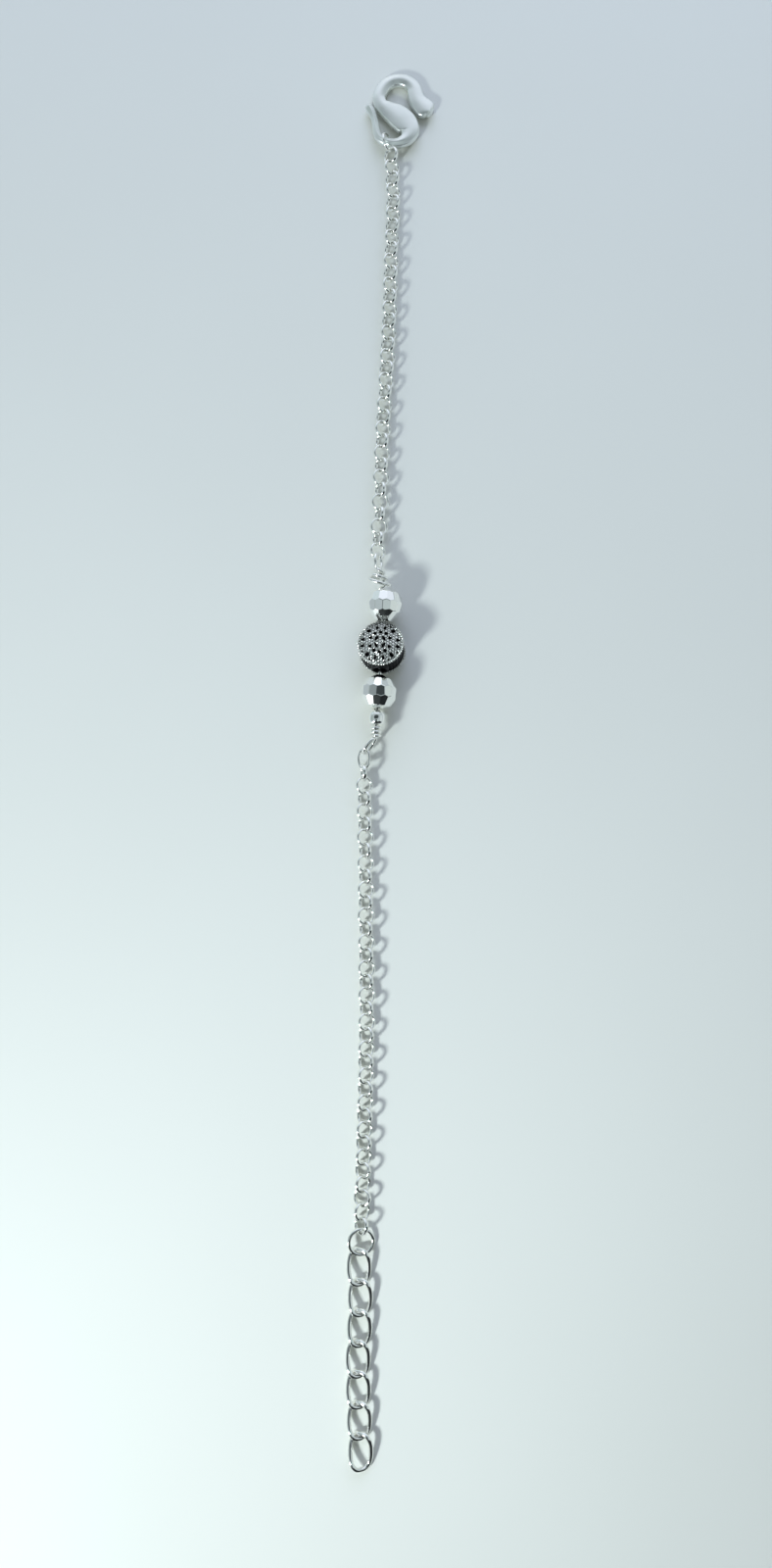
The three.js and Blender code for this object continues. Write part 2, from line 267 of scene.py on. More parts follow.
def handled_silver_group():
    """Hand wear on silver: soft smudges, fine rubbed lines in two directions, and a thin tarnish
    film. Puts out a roughness, a height for a bump and a tarnish mask."""
    tree, n, given, out = new_group(
        "Handled silver",
        {"Clean roughness": 0.06, "Smudged roughness": 0.18, "Line depth": 0.4, "Dents": 0.5},
        ["Roughness", "Height", "Tarnish"],
    )
    place = n.add("ShaderNodeTexCoord").outputs["Object"]
    smudge = n.add("ShaderNodeTexNoise", {"Vector": place, "Scale": 420.0, "Detail": 3.0}).outputs["Fac"]
    film = n.add("ShaderNodeTexNoise", {"Vector": place, "Scale": 95.0, "Detail": 2.0}).outputs["Fac"]
    dents = n.add("ShaderNodeTexNoise", {"Vector": place, "Scale": 1500.0, "Detail": 1.0}).outputs["Fac"]
    lines = []
    for tilt, stretch in ((0.5, (2600.0, 26000.0, 9000.0)), (-0.9, (30000.0, 3200.0, 9000.0))):
        lain = n.add("ShaderNodeMapping", {"Vector": place, "Rotation": (0.0, 0.0, tilt), "Scale": stretch})
        lines.append(n.add("ShaderNodeTexNoise", {"Vector": lain.outputs[0], "Scale": 1.0}).outputs["Fac"])
    rubbed = n.math("MULTIPLY", n.math("ADD", lines[0], lines[1]), given.outputs["Line depth"])
    dented = n.math("MULTIPLY", dents, given.outputs["Dents"])
    wear = n.ramp(smudge, 0.35, 0.72)
    rougher = n.math("SUBTRACT", given.outputs["Smudged roughness"], given.outputs["Clean roughness"])
    roughness = n.math("ADD", given.outputs["Clean roughness"], n.math("MULTIPLY", wear, rougher))
    tree.links.new(roughness, out.inputs["Roughness"])
    tree.links.new(n.math("ADD", rubbed, dented), out.inputs["Height"])
    tree.links.new(n.ramp(film, 0.45, 0.75), out.inputs["Tarnish"])
    return tree


HANDLED = handled_silver_group()
WEAR_DEPTH = 0.02               # of a full bump
BLACK_ROUGHNESS = 0.35          # added where the silver is black


def silver(name, clean, film, roughness, smudged, lines, dents, bump, dark=None):
    """A silver finish: two tones mixed by the tarnish film, roughness and bump from hand wear, and, if a
    dark tone is given, blackening where the piece's own attribute for it is high, which paints both oxide
    in hollows and painted shade."""
    material = bpy.data.materials.new(name)
    material.use_nodes = True
    n = Nodes(material.node_tree)
    shader = material.node_tree.nodes["Principled BSDF"]
    wear = n.add("ShaderNodeGroup", node_tree=HANDLED)
    for label, value in (("Clean roughness", roughness), ("Smudged roughness", smudged),
                         ("Line depth", lines), ("Dents", dents)):
        wear.inputs[label].default_value = value
    tone = n.mix(wear.outputs["Tarnish"], (*clean, 1.0), (*film, 1.0))
    rough = wear.outputs["Roughness"]
    if dark:
        # blackening mask: oxide in hollows plus painted shade on the medallion's wall, collars, grains and
        # upper face
        oxide_and_shade = n.add("ShaderNodeAttribute", attribute_name="oxide_and_shade").outputs["Fac"]
        black = n.ramp(oxide_and_shade, 0.25, 0.8)
        tone = n.mix(black, tone, (*dark, 1.0))
        rough = n.math("ADD", rough, n.math("MULTIPLY", black, BLACK_ROUGHNESS))
    relief = n.add("ShaderNodeBump", {"Height": wear.outputs["Height"], "Strength": bump,
                                      "Distance": WEAR_DEPTH * MM})
    links = material.node_tree.links
    links.new(tone, shader.inputs["Base Color"])
    links.new(rough, shader.inputs["Roughness"])
    links.new(relief.outputs[0], shader.inputs["Normal"])
    shader.inputs["Metallic"].default_value = 1.0
    return material


polished_silver = silver("Polished silver", clean=(0.965, 0.965, 0.93), film=(0.90, 0.91, 0.87),
                         roughness=0.04, smudged=0.11, lines=0.15, dents=0.5, bump=0.25)
facet_silver = silver("Diamond-cut silver", clean=(0.965, 0.965, 0.93), film=(0.91, 0.92, 0.88),
                      roughness=0.03, smudged=0.07, lines=0.1, dents=0.15, bump=0.15)
satin_silver = silver("Satin silver", clean=(0.86, 0.885, 0.86), film=(0.78, 0.81, 0.78),
                      roughness=0.32, smudged=0.42, lines=0.35, dents=0.7, bump=0.35)
# its dark tone paints both oxide in hollows and painted shade
oxidised_silver = silver("Oxidised silver with painted shade", clean=(0.95, 0.95, 0.91), film=(0.84, 0.845, 0.80),
                         roughness=0.10, smudged=0.22, lines=0.3, dents=0.7, bump=0.4,
                         dark=(0.010, 0.010, 0.012))


# ---- the S-hook ----

HOOK_THICKNESS = 1.05
HOOK_EDGE = 0.34                # radius of its rounded edges
HOOK_CROWN = (0.17, 0.03)       # how far the middle of its upper and lower face stands out
HOOK_TILT = 3.4                 # degrees; the end on the chain lies on a link
HOOK_BEND_SHARE = 0.93          # of the way to a bend's centre that the band's inner half may reach
HOOK_BEND_STEPS = 9             # that the measured bend is averaged over
HOOK_STEPS = 260
HOOK_END = np.radians([88, 65, 42, 20])     # where the sections of a rounded end stand, from its tip
HOOK_SECTIONS = [               # x, y and width along the band, about the hook's own middle
    (4.8, -0.45, 1.3), (4.62, -0.25, 2.6), (4.25, 0.15, 3.2), (3.65, 0.8, 3.05), (2.95, 1.7, 2.7),
    (2.6, 2.75, 2.5), (2.35, 3.9, 2.3), (1.45, 4.95, 2.1), (-0.1, 5.35, 2.0), (-1.65, 4.85, 2.0),
    (-2.75, 3.6, 2.05), (-3.2, 2.2, 2.05), (-2.85, 1.0, 2.2), (-1.9, 0.15, 2.9), (-0.4, -0.9, 3.8),
    (0.9, -2.15, 3.9), (1.65, -3.65, 3.1), (1.1, -5.0, 2.1), (-0.2, -5.7, 1.5), (-1.8, -5.65, 1.3),
    (-3.1, -4.95, 1.2), (-3.7, -3.4, 1.15), (-3.9, -1.95, 1.05), (-4.15, -0.95, 1.05),
    (-4.5, -0.1, 1.25), (-4.85, 0.5, 1.2),
]


HOOK_EDGE_POINTS, HOOK_FACE_POINTS = 5, 9   # round one rounded edge, and across the face between two
HOOK_FACE_REACH = 0.8           # share of the half width out to a face's outermost points


def hook_profile():
    """Once round the band's section: for each point its place on the flat core, across and up from
    -1 to 1, and the direction, across and up, in which the rounded edge stands off that core."""
    quarter = np.radians(np.linspace(0, 90, HOOK_EDGE_POINTS))
    c, s = np.cos(quarter), np.sin(quarter)
    face = np.linspace(HOOK_FACE_REACH, -HOOK_FACE_REACH, HOOK_FACE_POINTS)
    stretches = [(1, 1, c, s), (face, 1, 0, 1), (-1, 1, -s, c),
                 (-1, -1, -c, -s), (-face, -1, 0, -1), (1, -1, s, -c)]
    return np.concatenate([np.stack(np.broadcast_arrays(*stretch), axis=1) for stretch in stretches]).T


def hook_surface():
    """A flat band along the S: at each step a rounded, slightly crowned rectangle whose width comes
    from the table, with its inner half held short of the centre of a tight bend. The two ends
    close by sections that shrink as a quarter circle."""
    band = smooth_curve(HOOK_SECTIONS, HOOK_STEPS)
    line, width = band[:, :2], band[:, 2]
    along = unit(np.gradient(line, axis=0))
    left = np.stack([-along[:, 1], along[:, 0]], axis=1)
    pace = np.linalg.norm(np.gradient(line, axis=0), axis=1)
    bend = (np.gradient(along, axis=0) * left).sum(axis=1) / pace
    bend = np.convolve(np.pad(bend, HOOK_BEND_STEPS // 2, mode="edge"),
                       np.full(HOOK_BEND_STEPS, 1 / HOOK_BEND_STEPS), mode="valid")
    reach_left, reach_right = (np.minimum(width / 2, HOOK_BEND_SHARE / np.maximum(inward, 1e-6))
                               for inward in (bend, -bend))
    swell = np.concatenate([np.cos(HOOK_END), np.ones(HOOK_STEPS), np.cos(HOOK_END[::-1])])[:, None]
    push = HOOK_EDGE * np.concatenate([-np.sin(HOOK_END), np.zeros(HOOK_STEPS), np.sin(HOOK_END[::-1])])
    pick = np.clip(np.arange(len(push)) - len(HOOK_END), 0, HOOK_STEPS - 1)
    core_x, core_z, edge_x, edge_z = hook_profile()
    half = np.where(core_x > 0, reach_left[pick][:, None], reach_right[pick][:, None])
    inside = np.maximum(half - HOOK_EDGE, 0.02) - HOOK_EDGE * (1 - swell)
    sideways = core_x * inside + HOOK_EDGE * edge_x * swell
    crown = np.where(core_z > 0, HOOK_CROWN[0], -HOOK_CROWN[1]) * (1 - core_x ** 2)
    high = core_z * (HOOK_THICKNESS / 2 - HOOK_EDGE) + HOOK_EDGE * edge_z * swell + crown
    flat_spot = (line[pick][:, None] + push[:, None, None] * along[pick][:, None]
                 + sideways[..., None] * left[pick][:, None])
    spots = np.concatenate([flat_spot, high[..., None]], axis=-1)
    faces = [face[::-1] for face in skin_faces(len(pick), len(core_x))]
    return spots.reshape(-1, 3), faces


def placed_like(spots, node):
    """Moves points so that the middle and the underside of their box are those of a node."""
    low, high = corners(node)
    own_low, own_high = spots.min(axis=0), spots.max(axis=0)
    move = (low + high - own_low - own_high) / 2
    move[2] = low[2] - own_low[2]
    return spots + move


hook_spots, hook_faces = hook_surface()
hook_spots = placed_like(hook_spots @ turned("X", -HOOK_TILT).T, "s_hook")
s_hook = add_mesh("hook_band", [(hook_spots, hook_faces)], satin_silver)
seat(s_hook, "satin_silver", "s_hook")


# ---- single rings ----

RING_SIDES = 16                 # round the wire of a ring


def ring_piece(name, node, width, length, wire, turns=(), twist=0.0, fullness=2.0):
    """One closed link of round wire, turned about the axes in order by the degrees given, set where
    its CAD node is, and lifted where it would sink into the table."""
    path = oval_path(width, length, wire, twist, fullness)
    for axis, degrees in turns:
        path = path @ turned(axis, degrees).T
    path = path + middle(node)
    path[:, 2] += max(0, wire / 2 - path[:, 2].min())
    piece = add_mesh(name, [tube(path, wire / 2, RING_SIDES, closed=True)], polished_silver)
    seat(piece, "polished_silver", node)


ring_piece("hook_ring", "hook_link", width=3.3, length=3.3, wire=0.45, turns=[("Y", 60), ("Z", 10)])
ring_piece("oval_ring", "oval_link", width=2.2, length=3.4, wire=0.42, turns=[("Y", -22)])
ring_piece("open_ring", "jump_ring", width=4.2, length=4.2, wire=0.54, turns=[("Y", 14), ("X", 4)])
for i in range(1, 8):
    ring_piece(f"curb_{i}", f"extension_link_{i}", width=3.7, length=5.67, wire=0.66,
               twist=28.0, fullness=2.7)


# ---- rolo chains ----

LINK_ACROSS = 2.86
LINK_THICK = 0.42               # through the band of a link, from its outer face to its inner face
LINK_BAND = 0.66                # along the axis of a link
LINK_SETTLE = 0.88              # share of a square lean that is left once the chain lies on the table
LINK_PLAY = 3                   # degrees, the spread of the small turns of single links
LINK_CLEAR = 0.02               # between a link and the table
LINK_POINTS, LINK_SIDES = 12, 28            # round the section of a link's band, and round the link
LINE_STEPS = 2000               # along a chain's line, to measure its length by


def link_shape():
    """A link about Z: its band's oval section turned about the axis."""
    turn = TAU * np.arange(LINK_POINTS) / LINK_POINTS
    outline = np.stack([(LINK_ACROSS - LINK_THICK * (1 - np.cos(turn))) / 2,
                        LINK_BAND / 2 * np.sin(turn)], axis=1)
    return lathe(outline, LINK_SIDES, closed=True)


def link_places(line, count):
    """Places spaced evenly along a line by its length, and the way the line runs at each."""
    dense = smooth_curve(line, LINE_STEPS)
    run = np.concatenate([[0], np.cumsum(np.linalg.norm(np.diff(dense, axis=0), axis=1))])
    at = np.linspace(0, run[-1], count)
    place = np.stack([np.interp(at, run, dense[:, k]) for k in range(2)], axis=1)
    along = unit(np.stack([np.interp(at, run, np.gradient(dense[:, k])) for k in range(2)], axis=1))
    return place, along


def link_angles(count, first_lean, twist, seed):
    """Turn of each link about the chain's line: 90 degrees from the last, less a slow twist given as
    (link number, degrees) stations, then settled towards the table, with a little play."""
    number = np.arange(count)
    play = np.random.default_rng(seed).normal(0, LINK_PLAY, count)
    stations, degrees = np.array(twist, float).T
    lean = (first_lean + 90 * number) % 180 - np.interp(number, stations, degrees)
    return np.radians(LINK_SETTLE * lean + play)


def link_heights(angle):
    """Height of each link's middle. A leaning link stands as high as its own lean lifts it off the
    table, or as high as the higher of its two neighbours, which it is threaded through."""
    c, s = np.abs(np.cos(angle)), np.abs(np.sin(angle))
    lift = (LINK_ACROSS - LINK_THICK) / 2 * s + np.hypot(LINK_THICK * s, LINK_BAND * c) / 2
    return np.maximum(lift, np.maximum(np.roll(lift, 1), np.roll(lift, -1))) + LINK_CLEAR


def rolo_chain(name, node, count, first_lean, twist, ends, seed):
    """Round links of flat, rounded band threaded through one another along the chain's line. Each
    link holds the line in its plane and is turned about the line. For the first and the last link,
    `ends` gives a shift in x and y, a height and a further turn in degrees, with which it hangs on
    the ring or loop there without cutting into it."""
    ends = np.array(ends, float)
    line = centre_line(node)
    line[[0, -1]] += ends[:, :2]
    place, along = link_places(line, count)
    angle = link_angles(count, first_lean, twist, seed)
    angle[[0, -1]] += np.radians(ends[:, 3])
    high = link_heights(angle)
    high[[0, -1]] = ends[:, 2]

    forward = np.concatenate([along, np.zeros((count, 1))], axis=1)
    side = np.stack([forward[:, 1], -forward[:, 0], np.zeros(count)], axis=1)
    tilted = np.cos(angle)[:, None] * side + np.sin(angle)[:, None] * np.array([0.0, 0.0, 1.0])
    axes = np.stack([tilted, forward, np.cross(tilted, forward)], axis=1)
    centre = np.concatenate([place, high[:, None]], axis=1)
    link, faces = link_shape()
    links = np.einsum("vk,nkx->nvx", link, axes) + centre[:, None]
    piece = add_mesh(name, [(spots, faces) for spots in links], polished_silver)
    seat(piece, "polished_silver", node)


rolo_chain("upper_rolo", "upper_chain", count=34, first_lean=0,
           twist=[(0, 16), (4, 18), (9, 36), (33, 40)],
           ends=[(-0.29, 0.17, 1.59, -22), (-0.51, -0.08, 1.31, 1)], seed=5)
rolo_chain("lower_rolo", "lower_chain", count=35, first_lean=90,
           twist=[(0, 50), (9, 42), (17, 36), (22, 30), (28, 30), (34, 35)],
           ends=[(0.0, 0.0, 1.22, 11), (-0.14, -0.04, 1.59, 29)], seed=6)


# ---- the run of beads: its own axes are X across, Y along the wire and Z up ----

UPPER_BALL_AT, LOWER_BALL_AT, SPACER_AT = 6.72, -6.85, -10.74
run_along = unit(middle("upper_faceted_ball") - middle("lower_faceted_ball"))
run_axes = np.stack([np.cross(run_along, [0, 0, 1]), run_along, [0.0, 0.0, 1.0]])
run_origin = middle("upper_faceted_ball") - UPPER_BALL_AT * run_along


def on_run(spots):
    """Points of the bead run put into the frame of the part."""
    return spots @ run_axes + run_origin


# ---- faceted balls ----

BALL_FACETS = 14                # in each row
BALL_BORE = 0.45
BALL_EDGE = 0.07                # width of the polished edge between two facets
CUT_PLAY = 0.012                # radians, the spread of the facets' small errors


def faceted_ball(ball_radius, row_latitudes, start_turn, seed):
    """A ball about Y bounded by flat facets in rows, each over the joint of two in the next row.
    Every corner is where three facet planes meet, solved three at a time. The planes are tipped by
    a fraction of a degree, as hand-set cutting leaves them. A bore joins the two end flats."""
    rng = np.random.default_rng(seed)
    rows, count = len(row_latitudes), BALL_FACETS
    shift = np.array([(row + 1) % 2 / 2 for row in range(rows)])
    turn = TAU * (np.arange(count)[None, :] + shift[:, None]) / count + np.radians(start_turn)
    high = np.radians(np.array(row_latitudes, float))[:, None] + rng.normal(0, CUT_PLAY, (rows, count))
    turn = turn + rng.normal(0, CUT_PLAY, (rows, count))
    planes = np.stack([np.cos(high) * np.sin(turn), np.sin(high), np.cos(high) * np.cos(turn)], axis=-1)

    i = np.arange(count)
    before, after = (i - 1) % count, (i + 1) % count

    def meet(a, b, c):
        """Where three planes meet, for each three of three rows of planes."""
        return np.linalg.solve(np.stack([a, b, c], axis=1), np.full((count, 3, 1), ball_radius))[..., 0]

    def end_flat(row, pole):
        """Corners of the flat at an end, between the facets of its nearest row."""
        return meet(row, row[after], np.broadcast_to(pole, (count, 3)))

    low_id, top_id = i, count + i
    spots = [end_flat(planes[0], (0.0, -1.0, 0.0)), end_flat(planes[-1], (0.0, 1.0, 0.0))]
    used = 2 * count
    below, above = {}, {}           # the corners of each facet along its lower and its upper side
    for k in range(count):
        below[0, k] = [low_id[before[k]], low_id[k]]
        above[rows - 1, k] = [top_id[k], top_id[before[k]]]
    for row in range(rows - 1):
        over = (i + int(shift[row] + 0.5 - shift[row + 1])) % count
        spots += [meet(planes[row], planes[row][after], planes[row + 1][over]),
                  meet(planes[row], planes[row + 1][over - 1], planes[row + 1][over])]
        pair_id, lone_id = used + i, used + count + i
        used += 2 * count
        for k in range(count):
            above[row, k] = [pair_id[k], lone_id[k], pair_id[before[k]]]
            below[row + 1, over[k]] = [lone_id[k], pair_id[k], lone_id[after[k]]]
    faces = [[int(v) for v in below[row, k] + above[row, k]] for row in range(rows) for k in range(count)]

    around = TAU * (i + shift[0] + 0.5) / count + np.radians(start_turn)
    circle = BALL_BORE * np.stack([np.sin(around), 0 * around, np.cos(around)], axis=1)
    spots += [circle - [0, ball_radius, 0], circle + [0, ball_radius, 0]]
    low_hole, top_hole = used + i, used + count + i
    for ring_a, ring_b in ((low_hole, low_id), (top_hole, low_hole), (top_id, top_hole)):
        faces += np.stack([ring_a, ring_a[after], ring_b[after], ring_b], axis=1).tolist()
    return np.concatenate(spots), faces


def ball_piece(name, node, at, ball_radius, row_latitudes, start_turn, seed):
    """A faceted ball at its place on the wire, with its edges polished a little round."""
    spots, faces = faceted_ball(ball_radius, row_latitudes, start_turn, seed)
    piece = add_mesh(name, [(on_run(spots + [0, at, 0]), faces)], facet_silver, flat=True)
    edge = piece.modifiers.new("Cut edges", "BEVEL")
    edge.width = BALL_EDGE * MM
    edge.segments = 2
    edge.limit_method = "ANGLE"
    edge.angle_limit = np.radians(8)
    seat(piece, "polished_silver", node)


ball_piece("upper_ball", "upper_faceted_ball", UPPER_BALL_AT, ball_radius=2.66,
           row_latitudes=(-45, -13, 19, 51), start_turn=6.35, seed=3)
ball_piece("lower_ball", "lower_faceted_ball", LOWER_BALL_AT, ball_radius=2.7,
           row_latitudes=(-64, -32, 0, 32, 64), start_turn=-4.0, seed=8)


# ---- spacer ----

SPACER_MIDDLE, SPACER_SWELL = 0.89, 0.41    # radius of its wall's middle, and half the wall's width
SPACER_HALF = 0.98
SPACER_SQUARE = 0.8             # under 1, its ends are flatter than an ellipse's
SPACER_POINTS, SPACER_SIDES = 40, 48        # round the section of its wall, and round the bead


def spacer_bead():
    """A short bead about the wire: an oval wall section, squared a little at its ends."""
    turn = np.linspace(0, TAU, SPACER_POINTS, endpoint=False)
    c, s = np.cos(turn), np.sin(turn)
    outline = np.stack([SPACER_MIDDLE + SPACER_SWELL * c,
                        SPACER_HALF * np.sign(s) * np.abs(s) ** SPACER_SQUARE], axis=1)
    spots, faces = lathe(outline, SPACER_SIDES, closed=True)
    spots = spots @ turned("X", 90).T + [0, SPACER_AT, 0]
    piece = add_mesh("spacer", [(on_run(spots), faces)], polished_silver)
    seat(piece, "polished_silver", "spacer_bead")


spacer_bead()


# ---- filigree medallion ----

COIN_ROLL, COIN_PITCH = 6, 10.5             # degrees about the wire and across it
COIN_RIM = 3.42
COIN_FACE = 3.15                # radius at which the domed faces meet the rims
COIN_FACE_HIGH, COIN_DOME = 1.84, 0.72      # height of a face at its edge, and what its dome adds
COIN_WALL_HIGH = 1.78           # from the middle of the wall to a rim
COIN_WALL_DRAWN, COIN_BAR = 0.28, 0.10      # how far the wall is drawn in, and how far a bar stands out
COIN_BARS = 36
COIN_PIERCED, PIERCED_SLOPE = 0.5, 0.10     # depth of a piercing, and how far in its sides reach it
COIN_LIP = 0.07                 # height of the lip round a piercing
LIP_OFF, LIP_WIDE = 0.09, 0.07  # how far from a piercing the lip is highest, and its half width
PLAIN_BLACK, TOP_PAINTED_SHADE = 0.15, 0.27       # blackening of a face at the lower end, and painted shade added towards the upper end
CREVICE_BLACK = 0.8             # between the grains of a face
GRAIN_PITCH, GRAIN_HIGH = 0.40, 0.055
RIM_GRAINS, RIM_GRAIN_SIZE = 52, 0.2
RIM_GRAIN_PLACE = (3.36, 1.80)  # distance out and height
COIN_SIDES = 288                # round the coin
FACE_RINGS, WALL_RINGS = 78, 25             # of points, over one face and down the wall
GRAIN_SIDES, COLLAR_SIDES = 9, 40
COLLAR_AT = 3.14                # along the wire
COLLAR_OUTLINE = [              # radius and height
    (0.95, -0.7), (1.2, -0.7), (1.3, -0.5), (1.3, 0.3), (1.24, 0.45), (1.12, 0.5), (1.0, 0.45),
    (0.95, 0.35),
]
# blackening of the collars, oxide and painted shade, and painted shade on the lower rim's grains
COLLAR_OXIDE_SHADE, LOWER_GRAIN_SHADE = 0.75, 0.5
COIN_QUARTER = [                # piercings: distance out, its angle, half length, half width, long way
    (0.77, 45, 0.50, 0.25, 120),
    (1.60, 25, 0.32, 0.28, 25),
    (1.60, 58, 0.32, 0.28, 58),
    (1.60, 90, 0.32, 0.28, 90),
    (2.62, 46, 0.42, 0.34, 46),
    (2.70, 11, 0.40, 0.28, 11),
    (2.45, 76, 0.38, 0.25, 76),
    (2.98, 28, 0.20, 0.17, 28),
    (2.98, 61, 0.20, 0.17, 61),
]


def smooth_step(values):
    """Goes smoothly from 0 at 0 to 1 at 1, and stays there on both sides."""
    values = np.clip(values, 0, 1)
    return values * values * (3 - 2 * values)


def coin_face(radius, turn):
    """Height of a face, how deep each point lies in a piercing, and the pattern of the grains. The
    face is a shallow dome. Each piercing is an almond whose half width falls off as one less the
    square of the way along it, with steep sides and a raised lip, and the metal between carries a
    honeycomb of grains, which is the mean of three waves 60 degrees apart."""
    x, y = radius * np.cos(turn), radius * np.sin(turn)
    height = COIN_FACE_HIGH + COIN_DOME * (1 - (radius / COIN_FACE) ** 2)
    depth, lip = np.zeros_like(x), np.zeros_like(x)
    for out, angle, long, wide, way in COIN_QUARTER:
        c, s = np.cos(np.radians(way)), np.sin(np.radians(way))
        for flip_x, flip_y in ((1, 1), (-1, 1), (1, -1), (-1, -1)):
            off_x = flip_x * x - out * np.cos(np.radians(angle))
            off_y = flip_y * y - out * np.sin(np.radians(angle))
            far = (off_x * c + off_y * s) / long
            inside = wide * (1 - far ** 2) - np.abs(off_y * c - off_x * s)
            inside = np.where(np.abs(far) < 1.3, inside, -1.0)
            depth = np.maximum(depth, smooth_step(inside / PIERCED_SLOPE))
            lip = np.maximum(lip, np.exp(-((inside + LIP_OFF) / LIP_WIDE) ** 2))
    k = TAU / GRAIN_PITCH
    grain = (np.cos(k * x) + np.cos(k * (x / 2 + 0.866 * y)) + np.cos(k * (x / 2 - 0.866 * y))) / 3
    grained = GRAIN_HIGH * np.maximum(grain, -0.3) * (1 - depth)
    return height + COIN_LIP * lip + grained - COIN_PIERCED * depth, depth, grain


def medallion_surface():
    """The coin's skin from the middle of its upper face round its wall to the middle of its lower face, and
    how black each point of it is. The wall is drawn in between the two rims and carries a row of upright
    bars. Piercings, crevices and the wall are black, oxide and painted shade together, and painted shade
    darkens the faces towards the upper end."""
    turn = TAU * np.arange(COIN_SIDES) / COIN_SIDES
    radius = np.linspace(0.01, COIN_FACE, FACE_RINGS)
    face_height, face_depth, grain = coin_face(radius[:, None], turn[None, :])
    wall = np.linspace(0, 1, WALL_RINGS)[:, None]
    wall_high = COIN_WALL_HIGH * (1 - 2 * wall)
    shoulder = smooth_step((1 - np.abs(1 - 2 * wall)) / 0.12)
    bars = 0.5 + 0.5 * np.cos(COIN_BARS * turn)[None, :]
    wall_radius = COIN_RIM - COIN_WALL_DRAWN * shoulder + COIN_BAR * shoulder * bars
    # the wall's blackening is oxide and painted shade, a little lighter on the bars
    wall_oxide_shade = shoulder * (1.0 - 0.2 * bars)
    flat = np.ones((1, COIN_SIDES))
    radius_all = np.concatenate([radius[:, None] * flat, wall_radius, radius[::-1, None] * flat])
    height_all = np.concatenate([face_height, wall_high * flat, -face_height[::-1]])
    crevice = CREVICE_BLACK * smooth_step((-0.08 - grain) / 0.3)
    # painted shade: the faces grow darker towards their upper end
    top_shade_share = smooth_step((radius[:, None] * np.sin(turn)[None, :] + 0.6) / 3)
    face_oxide_shade = np.maximum(np.maximum(face_depth, crevice), PLAIN_BLACK + TOP_PAINTED_SHADE * top_shade_share)
    oxide_and_shade = np.concatenate([face_oxide_shade, wall_oxide_shade, face_oxide_shade[::-1]])
    spots = np.stack([radius_all * np.cos(turn), radius_all * np.sin(turn), height_all], axis=-1)
    faces = [face[::-1] for face in skin_faces(len(radius_all), COIN_SIDES)]
    return spots.reshape(-1, 3), faces, oxide_and_shade.ravel()


def grain_ring(side):
    """The small round grains along one rim, the upper (side 1) or the lower (side -1)."""
    bend = np.radians([-88, -52, -18, 18, 52, 88])
    outline = RIM_GRAIN_SIZE * np.stack([np.cos(bend), np.sin(bend)], axis=1)
    ball, faces = lathe(outline, GRAIN_SIDES)
    out, high = RIM_GRAIN_PLACE
    turn = TAU * np.arange(RIM_GRAINS) / RIM_GRAINS
    place = np.stack([out * np.cos(turn), out * np.sin(turn), np.full(RIM_GRAINS, side * high)], axis=1)
    return [(ball + spot, faces) for spot in place]


def filigree_medallion():
    """The coin, its two collars round the wire and its two rings of grains, tipped together. The grains on
    the upper rim are black only towards its upper end, as painted shade; the lower grains carry painted
    shade all round, and the collars oxide and painted shade."""
    skin, skin_facing, skin_oxide_shade = medallion_surface()
    collar, collar_faces = lathe(COLLAR_OUTLINE, COLLAR_SIDES, closed=True)
    collars = [(collar @ turned("X", -90).T + [0, COLLAR_AT, 0], collar_faces),
               (collar @ turned("X", 90).T - [0, COLLAR_AT, 0], collar_faces)]
    parts = [(skin, skin_facing), *collars, *grain_ring(1), *grain_ring(-1)]
    # painted shade on the upper rim's grains towards its upper end
    rim_turn = TAU * np.arange(RIM_GRAINS) / RIM_GRAINS
    upper_rim_shade = 0.65 * smooth_step((np.sin(rim_turn) - 0.55) / 0.3)
    part_oxide_shade = [COLLAR_OXIDE_SHADE, COLLAR_OXIDE_SHADE, *upper_rim_shade, *np.full(RIM_GRAINS, LOWER_GRAIN_SHADE)]
    oxide_and_shade = np.concatenate([skin_oxide_shade] + [np.full(len(spots), dark)
                                           for (spots, _), dark in zip(parts[1:], part_oxide_shade)])
    tip = turned("X", -COIN_PITCH) @ turned("Y", -COIN_ROLL)
    parts = [(on_run(spots @ tip.T), faces) for spots, faces in parts]
    piece = add_mesh("medallion", parts, oxidised_silver, attributes={"oxide_and_shade": oxide_and_shade})
    seat(piece, "oxidised_silver", "filigree_medallion")


filigree_medallion()


# ---- the wire through the beads ----

WIRE = 0.55
WIRE_STEPS, WIRE_SIDES = 900, 14            # along the wire and round it
TURN_STEPS = 14                 # points in one turn of the wire round itself
LOOP_OUTLINE = np.array([       # a loop's points, out from its start and across
    (0, 0), (0.8, -0.45), (1.9, -0.62), (2.75, -0.25), (2.95, 0.31), (2.75, 0.87), (1.9, 1.24),
    (0.8, 1.07), (0, 0.62),
])


def loop_points(start, towards, slope, size):
    """A drop-shaped loop of wire, leaning over sideways by the slope in degrees. The size is that
    of its length alone."""
    long = unit(np.array(towards, float))
    across = unit(np.array([-long[1], long[0], 0.0]))
    lean = np.radians(slope)
    across = across * np.cos(lean) + np.cross(long, across) * np.sin(lean)
    return np.array(start, float) + size * LOOP_OUTLINE[:, :1] * long + LOOP_OUTLINE[:, 1:] * across


def wrap_points(start, end, turns, lean_across=0.0, lean_up=0.0):
    """Turns round the stem. Their middle (x, y) and two radii (across, up) change evenly from the
    first turn to the last, by which they have come to lean: their right side and their top are
    nearer the bead by the two shares of their distance from the middle."""
    part = np.linspace(0, 1, int(round(turns * TURN_STEPS)) + 1)
    angle = TAU * turns * part
    x, y, across, high = (np.array(start)[:, None] * (1 - part) + np.array(end)[:, None] * part)
    sideways, up = across * np.sin(angle), high * np.cos(angle)
    return np.stack([x + sideways, y - part * (lean_across * sideways + lean_up * up), up], axis=1)


